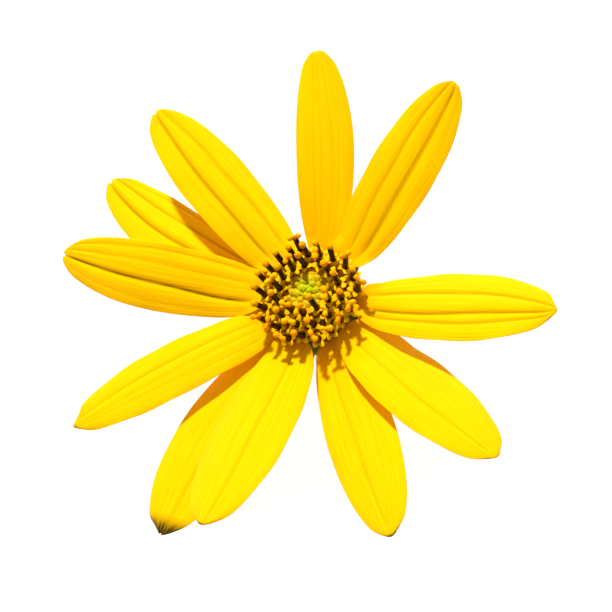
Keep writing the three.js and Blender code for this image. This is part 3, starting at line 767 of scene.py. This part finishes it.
class Finish:
    """A material made of nodes."""

    def __init__(self, name):
        self.material = bpy.data.materials.new(name)
        self.material.use_nodes = True
        self.tree = self.material.node_tree
        self.tree.nodes.clear()

    def node(self, kind, settings=None, inputs=None):
        """Adds a node. An input is a plain value or the output socket of another node."""
        made = self.tree.nodes.new(kind)
        for key, value in (settings or {}).items():
            setattr(made, key, value)
        for key, value in (inputs or {}).items():
            if isinstance(value, bpy.types.NodeSocket):
                self.tree.links.new(value, made.inputs[key])
            else:
                made.inputs[key].default_value = value
        return made

    def painted(self, name):
        return self.node("ShaderNodeAttribute", {"attribute_name": name}).outputs["Fac"]

    def noise(self, scale, stretch=None, detail=3.0, roughness=0.6):
        """Noise over the object, or along the surface's own places where stretch is given."""
        if stretch:
            source = self.node("ShaderNodeUVMap", {"uv_map": "place"}).outputs["UV"]
            vector = self.node("ShaderNodeMapping", None,
                               {"Vector": source, "Scale": (*stretch, 1.0)}).outputs["Vector"]
        else:
            vector = self.node("ShaderNodeTexCoord").outputs["Object"]
        return self.node("ShaderNodeTexNoise", None, {
            "Vector": vector, "Scale": scale, "Detail": detail, "Roughness": roughness,
        }).outputs["Fac"]

    def ramp(self, value, low, high, start=0.0, end=1.0):
        return self.node("ShaderNodeMapRange", {"clamp": True}, {
            "Value": value, "From Min": low, "From Max": high, "To Min": start, "To Max": end,
        }).outputs["Result"]

    def maths(self, operation, first, second):
        return self.node("ShaderNodeMath", {"operation": operation},
                         {0: first, 1: second}).outputs[0]

    def mix(self, factor, first, second):
        return self.node("ShaderNodeMix", {"data_type": "RGBA"},
                         {0: factor, 6: first, 7: second}).outputs[2]

    def bump(self, height, strength, distance, normal=None):
        inputs = {"Height": height, "Strength": strength, "Distance": distance * METRES}
        if normal:
            inputs["Normal"] = normal
        return self.node("ShaderNodeBump", None, inputs).outputs["Normal"]

    def shader(self, colour, normal, roughness, specular=0.3, gloss=(1, 1, 1, 1), through=None,
               share=0.25):
        """Ends the material: a soft surface, which lets the share of light through in a colour."""
        inputs = {"Base Color": colour, "Roughness": roughness, "Specular IOR Level": specular,
                  "Specular Tint": gloss}
        if normal:
            inputs["Normal"] = normal
        out = self.node("ShaderNodeBsdfPrincipled", None, inputs).outputs["BSDF"]
        if through:
            behind = self.node("ShaderNodeBsdfTranslucent", None, {"Color": through})
            out = self.node("ShaderNodeMixShader", None, {
                0: share, 1: out, 2: behind.outputs["BSDF"]}).outputs["Shader"]
        self.node("ShaderNodeOutputMaterial", None, {"Surface": out})
        return self.material


def rgb(red, green, blue):
    """A linear colour from the 0 to 255 numbers that a screen shows."""
    def linear(value):
        value /= 255
        return value / 12.92 if value <= 0.04045 else ((value + 0.055) / 1.055) ** 2.4
    return (linear(red), linear(green), linear(blue), 1.0)


def strap_finish():
    f = Finish("ray_strap")
    place = f.node("ShaderNodeUVMap", {"uv_map": "place"}).outputs["UV"]
    along = f.node("ShaderNodeSeparateXYZ", None, {"Vector": place}).outputs["Y"]
    veins = f.noise(1.0, (46.0, 1.3), detail=4)
    fine = f.noise(1.0, (130.0, 7.0), detail=2)
    patches = f.noise(90.0, detail=2)
    colour = f.mix(f.ramp(veins, 0.36, 0.64), rgb(252, 196, 0), rgb(255, 215, 0))
    colour = f.mix(f.ramp(patches, 0.35, 0.7, 0, 0.5), colour, rgb(254, 198, 0))
    # Painted shade: the colour darkens to olive-orange along the creases.
    colour = f.mix(f.ramp(f.painted("crease"), 0.1, 1.0, 0, 0.85), colour, rgb(150, 112, 0))
    # Painted shade: the strap turns orange towards its foot, under the disc florets.
    colour = f.mix(f.ramp(along, 0.16, 0.03, 0, 0.5), colour, rgb(250, 178, 0))
    colour = f.mix(f.ramp(f.painted("under"), 0, 1, 0, 0.45), colour, rgb(250, 210, 24))
    ragged = f.maths("MULTIPLY", f.painted("stain"), f.ramp(veins, 0.3, 0.6, 0.55, 1.15))
    colour = f.mix(f.ramp(ragged, 0.12, 0.8, 0, 0.9), colour, rgb(104, 80, 10))
    colour = f.mix(f.ramp(ragged, 0.55, 0.95, 0, 0.85), colour, rgb(46, 30, 8))
    normal = f.bump(veins, 0.7, 0.2)
    normal = f.bump(fine, 0.4, 0.06, normal)
    return f.shader(colour, normal, 0.6, specular=0.1, gloss=rgb(255, 200, 0), through=colour,
                    share=0.3)


def ovary_finish():
    f = Finish("ray_ovary")
    colour = f.mix(f.noise(600.0), rgb(196, 205, 120), rgb(226, 220, 150))
    return f.shader(colour, f.bump(f.noise(1500.0), 0.4, 0.05), 0.6)


def corolla_finish():
    f = Finish("corolla")
    lobe = f.painted("lobe")
    colour = f.mix(f.ramp(lobe, 0.1, 0.55), rgb(214, 186, 40), rgb(255, 200, 0))
    colour = f.mix(f.ramp(lobe, 0.6, 1.0), colour, rgb(255, 212, 4))
    colour = f.mix(f.ramp(f.noise(900.0), 0.5, 0.75, 0, 0.4), colour, rgb(252, 172, 0))
    normal = f.bump(f.noise(2600.0), 0.5, 0.06)
    return f.shader(colour, normal, 0.5, specular=0.15, gloss=rgb(255, 210, 60),
                    through=colour, share=0.3)


def anther_finish():
    f = Finish("anther")
    dark = f.mix(f.ramp(f.noise(700.0), 0.35, 0.7), rgb(18, 5, 4), rgb(36, 13, 9))
    colour = f.mix(f.ramp(f.painted("seam"), 0.5, 0.95, 0, 0.7), dark, rgb(176, 128, 84))
    colour = f.mix(f.painted("tip"), colour, rgb(214, 130, 20))
    return f.shader(colour, f.bump(f.noise(1800.0), 0.4, 0.05), 0.42, specular=0.2)


def pollen_finish():
    f = Finish("pollen")
    colour = f.mix(f.painted("lit"), rgb(250, 140, 0), rgb(255, 196, 0))
    colour = f.mix(f.ramp(f.noise(1600.0), 0.45, 0.75, 0, 0.5), colour, rgb(255, 170, 0))
    return f.shader(colour, f.bump(f.noise(5200.0, detail=4), 0.8, 0.08), 0.7, specular=0.08,
                    gloss=rgb(255, 200, 0), through=colour, share=0.12)


def bud_finish():
    f = Finish("bud")
    green = f.mix(f.painted("tint"), rgb(206, 166, 6), rgb(178, 196, 10))
    # Painted shade: dark brown where lit is low, low down on a bud and between its valves.
    colour = f.mix(f.ramp(f.painted("lit"), 0.15, 0.95), rgb(104, 82, 8), green)
    colour = f.mix(f.ramp(f.noise(700.0), 0.45, 0.75, 0, 0.45), colour, rgb(186, 158, 8))
    return f.shader(colour, f.bump(f.noise(3000.0), 0.4, 0.05), 0.45, specular=0.25,
                    gloss=rgb(250, 250, 120))


def chaff_finish():
    f = Finish("chaff")
    # Painted shade: dark olive where lit is low, towards a scale's root; the beds take a middle value.
    colour = f.mix(f.painted("lit"), rgb(150, 140, 30), rgb(232, 184, 4))
    colour = f.mix(f.ramp(f.painted("tint"), 0, 1, 0, 0.6), colour, rgb(206, 170, 8))
    colour = f.mix(f.ramp(f.noise(1.0, (30.0, 2.0)), 0.45, 0.65, 0, 0.4), colour, rgb(150, 110, 8))
    return f.shader(colour, f.bump(f.noise(1.0, (40.0, 3.0)), 0.5, 0.08), 0.65, specular=0.2)


def bract_finish():
    f = Finish("bract")
    place = f.node("ShaderNodeUVMap", {"uv_map": "place"}).outputs["UV"]
    across = f.node("ShaderNodeSeparateXYZ", None, {"Vector": place}).outputs["X"]
    middle = f.maths("ABSOLUTE", f.maths("SUBTRACT", across, 0.5), 0.0)
    veins = f.noise(1.0, (24.0, 2.0))
    colour = f.mix(f.painted("lit"), rgb(58, 80, 28), rgb(38, 62, 20))
    colour = f.mix(f.ramp(f.painted("tint"), 0, 1, 0, 0.5), colour, rgb(50, 72, 24))
    colour = f.mix(f.ramp(veins, 0.45, 0.65, 0, 0.4), colour, rgb(88, 112, 46))
    colour = f.mix(f.ramp(middle, 0.09, 0.01, 0, 0.55), colour, rgb(150, 168, 92))
    colour = f.mix(f.ramp(f.noise(500.0), 0.5, 0.75, 0, 0.35), colour, rgb(50, 76, 28))
    normal = f.bump(veins, 0.5, 0.12)
    return f.shader(colour, f.bump(f.noise(2400.0), 0.35, 0.05, normal), 0.6, specular=0.25)


def receptacle_finish():
    f = Finish("receptacle")
    skin = f.mix(f.noise(420.0), rgb(78, 104, 42), rgb(118, 140, 66))
    pith = f.mix(f.noise(900.0, detail=5), rgb(214, 214, 170), rgb(176, 184, 120))
    colour = f.mix(f.painted("cut"), skin, pith)
    return f.shader(colour, f.bump(f.noise(1700.0, detail=4), 0.5, 0.1), 0.65, specular=0.2)


def hair_finish():
    f = Finish("hair")
    colour = f.mix(f.noise(300.0), rgb(214, 218, 190), rgb(240, 240, 222))
    return f.shader(colour, None, 0.5, specular=0.3)


# Pieces

def make_rays():
    finishes = [strap_finish(), ovary_finish()]
    for number, ray in enumerate(map(Ray._make, RAYS), start=1):
        ray_floret(number, ray, finishes)


def make_disc():
    node, slot = ["disc_florets"], "disc_orange"
    corollas, anthers = Skin("lobe"), Skin("seam", "tip")
    pollen, styles = Skin("lit"), Skin("lit")
    for number, floret in enumerate(map(Floret._make, OPEN_FLORETS)):
        corolla(corollas, floret, number)
        anther_tube(anthers, floret, number)
        if floret.split:
            style_branches(styles, floret, number)
        else:
            pollen_cap(pollen, floret, number)
    piece("disc_corollas", corollas, [corolla_finish()], node, thickness=0.09)
    piece("disc_anther_tubes", anthers, [anther_finish()], node)
    gold = pollen_finish()
    piece("disc_pollen", pollen, [gold], node)
    piece("disc_styles", styles, [gold], node)

    dull = chaff_finish()
    scales, mass = Skin("lit", "tint"), Skin("lit", "tint")
    chaff(scales)
    chaff_rim(scales)
    piece("disc_chaff", scales, [dull], node, thickness=0.1)
    ring = smooth_path([*CHAFF_RING, CHAFF_RING[0]], 60)
    mass.sheet(lumpy(lathe(ring, 72), 0.2, 0.9, 3), closed=True, lit=0.6, tint=0.2)
    piece("disc_chaff_bed", mass, [dull], node)


def make_buds():
    green, dull = bud_finish(), chaff_finish()
    buds, dome = Skin("lit", "tint"), Skin("lit", "tint")
    for n in range(BUD_COUNT + HALF_OPEN_COUNT):
        bud(buds, n)
    piece("disc_buds_closed", buds, [green], ["disc_buds"])
    grid = lumpy(lathe(smooth_path(BUD_DOME, 40), 60), 0.15, 0.7, 5)
    dome.sheet(grid, closed=True, lit=0.6, tint=0.2)
    piece("disc_bud_bed", dome, [dull], ["disc_buds"])


def make_green():
    node, slot = ["receptacle_and_bracts"], "bract_green"
    body, leaves, hairs = Skin("lit", "tint", "cut"), Skin("lit", "tint"), Skin()
    receptacle(body)
    seed = BRACT_SEED
    for half, azimuths, path in BRACT_SERIES:
        for azimuth in azimuths:
            seed += 1
            bract(leaves, hairs, half, azimuth, path, seed)
    piece("receptacle", body, [receptacle_finish()], node)
    piece("bracts", leaves, [bract_finish()], node)
    piece("bract_hairs", hairs, [hair_finish()], node)


# Stage

def camera_axes():
    """Right, up and towards the camera, in the picture. The camera stands opposite CAMERA_LEAN."""
    level, side = point_at(CAMERA_LEAN, 1, 0), point_at(CAMERA_LEAN + 90, 1, 0)
    raised = bearing(CAMERA_LEAN, CAMERA_TILT)
    right = level[0] * raised + side[0] * side
    up = level[1] * raised + side[1] * side
    return right, up, np.cross(right, up)


def make_camera():
    right, up, toward = camera_axes()
    target = np.array([0, 0, CAMERA_TARGET_HEIGHT])
    place = target + right * CAMERA_OFFSET[0] + up * CAMERA_OFFSET[1] + toward * CAMERA_DISTANCE
    data = bpy.data.cameras.new("camera")
    data.lens = LENS
    data.sensor_width = SENSOR
    data.clip_start = 0.01
    camera = bpy.data.objects.new("camera", data)
    camera.matrix_world = placed(place * METRES, right, up, toward)
    bpy.context.scene.collection.objects.link(camera)
    bpy.context.scene.camera = camera


def placed(place, right, up, toward):
    columns = np.stack([right, up, toward, place], axis=1)
    return Matrix(np.vstack([columns, [0, 0, 0, 1]]).tolist())


def make_light():
    to_light = bearing(KEY_AZIMUTH, KEY_SLOPE)
    data = bpy.data.lights.new("key", "AREA")
    data.shape = "DISK"
    data.size = KEY_SIZE
    data.energy = KEY_POWER
    data.color = (1.0, 0.98, 0.94)
    key = bpy.data.objects.new("key", data)
    first = unit(np.cross(np.array([0.0, 0.0, 1.0]), to_light))
    key.matrix_world = placed(to_light * KEY_DISTANCE, first, np.cross(to_light, first), to_light)
    bpy.context.scene.collection.objects.link(key)

    world = bpy.data.worlds.new("studio")
    world.use_nodes = True
    background = world.node_tree.nodes["Background"]
    background.inputs["Color"].default_value = (1, 1, 1, 1)
    background.inputs["Strength"].default_value = SKY
    bpy.context.scene.world = world


def make_floor():
    f = Finish("floor")
    colour = f.mix(f.noise(30.0), (FLOOR_GREY,) * 3 + (1,), (FLOOR_GREY * 0.97,) * 3 + (1,))
    plain = f.node("ShaderNodeBsdfPrincipled", None, {
        "Base Color": colour, "Roughness": 0.9, "Specular IOR Level": 0.1,
        "Emission Color": (1, 1, 1, 1), "Emission Strength": FLOOR_GLOW})
    f.node("ShaderNodeOutputMaterial", None, {"Surface": plain.outputs["BSDF"]})
    half = FLOOR_SIZE / 2
    mesh = bpy.data.meshes.new("floor")
    mesh.from_pydata([(-half, -half, 0), (half, -half, 0), (half, half, 0), (-half, half, 0)],
                     [], [(0, 1, 2, 3)])
    mesh.materials.append(f.material)
    floor = bpy.data.objects.new("floor", mesh)
    bpy.context.scene.collection.objects.link(floor)


noise.seed_set(NOISE_SEED)
make_camera()
make_light()
make_floor()
make_rays()
make_disc()
make_buds()
make_green()
bpy.context.scene.view_settings.view_transform = "Standard"
